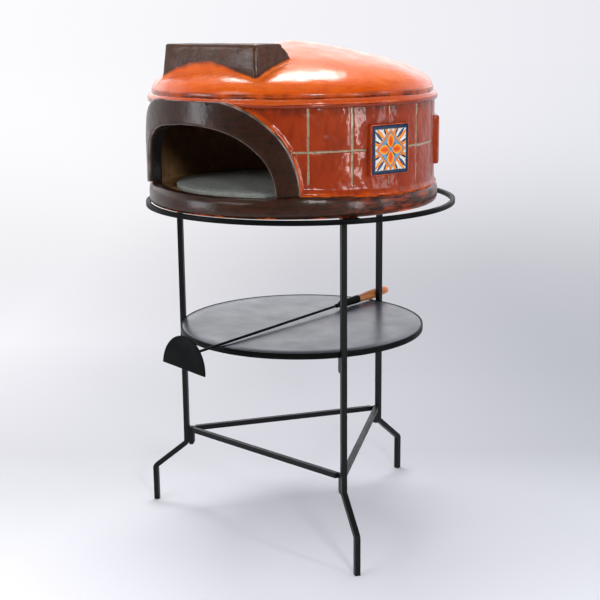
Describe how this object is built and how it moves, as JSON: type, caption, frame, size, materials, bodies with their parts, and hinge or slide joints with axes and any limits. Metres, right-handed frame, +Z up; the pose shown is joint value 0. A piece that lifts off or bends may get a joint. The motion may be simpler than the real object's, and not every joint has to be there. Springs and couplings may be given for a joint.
{
  "type": "wood fired pizza oven",
  "caption": "Round domed oven of glazed clay with an arched mouth, smoke hood and painted tiles, on a three-legged black steel stand with a shelf and a rake.",
  "frame": {"origin": "on the floor at the centre of the stand", "axes": "+Z up, the oven's mouth faces -Y, +X is to the right as seen from the mouth"},
  "size_m": [0.6998, 0.7679, 1.1135],
  "materials": {
    "orange_glaze": "gloss, darker in the groove above the bead",
    "red_clay": "semi-gloss, hand smoothed, grey joint lines",
    "brown_clay": "semi-gloss dark brown with worn orange edges",
    "painted_tile": "gloss, painted in blue, orange and white",
    "grey_stone": "matt",
    "black_steel": "satin black",
    "shelf_steel": "satin dark grey",
    "turned_wood": "varnished"
  },
  "bodies": {
    "stand": {"top_ring": "black_steel", "shelf_hoop": "black_steel", "shelf_plate": "shelf_steel", "leg_1": "black_steel", "arm_1": "black_steel", "shelf_lug_1": "black_steel", "tie_lug_1": "black_steel", "top_screw_1": "black_steel", "shelf_screw_1": "black_steel", "tie_screw_1": "black_steel", "top_bar_1": "black_steel", "tie_bar_1": "black_steel", "leg_2": "black_steel", "arm_2": "black_steel", "shelf_lug_2": "black_steel", "tie_lug_2": "black_steel", "top_screw_2": "black_steel", "shelf_screw_2": "black_steel", "tie_screw_2": "black_steel", "top_bar_2": "black_steel", "tie_bar_2": "black_steel", "leg_3": "black_steel", "arm_3": "black_steel", "shelf_lug_3": "black_steel", "tie_lug_3": "black_steel", "top_screw_3": "black_steel", "shelf_screw_3": "black_steel", "tie_screw_3": "black_steel", "top_bar_3": "black_steel", "tie_bar_3": "black_steel"},
    "oven": {"clay_base": "brown_clay", "clay_wall": "red_clay", "clay_dome": "orange_glaze", "mouth_arch": "brown_clay", "smoke_hood": "brown_clay", "baking_stone": "grey_stone", "tile_boss_1": "red_clay", "painted_tile_1": "painted_tile", "tile_boss_2": "red_clay", "painted_tile_2": "painted_tile", "tile_boss_3": "red_clay", "painted_tile_3": "painted_tile", "tile_boss_4": "red_clay", "painted_tile_4": "painted_tile", "tile_boss_5": "red_clay", "painted_tile_5": "painted_tile"},
    "rake": {"rake_blade": "black_steel", "rake_rod": "black_steel", "rake_ferrule": "black_steel", "rake_handle": "turned_wood"}
  },
  "joints": [
    {"name": "oven_lift", "type": "slide", "parent": "stand", "child": "oven", "axis": [0, 0, 1], "range_m": [0, 0.3]},
    {"name": "rake_lift", "type": "slide", "parent": "stand", "child": "rake", "axis": [0, 0, 1], "range_m": [0, 0.2]}
  ]
}
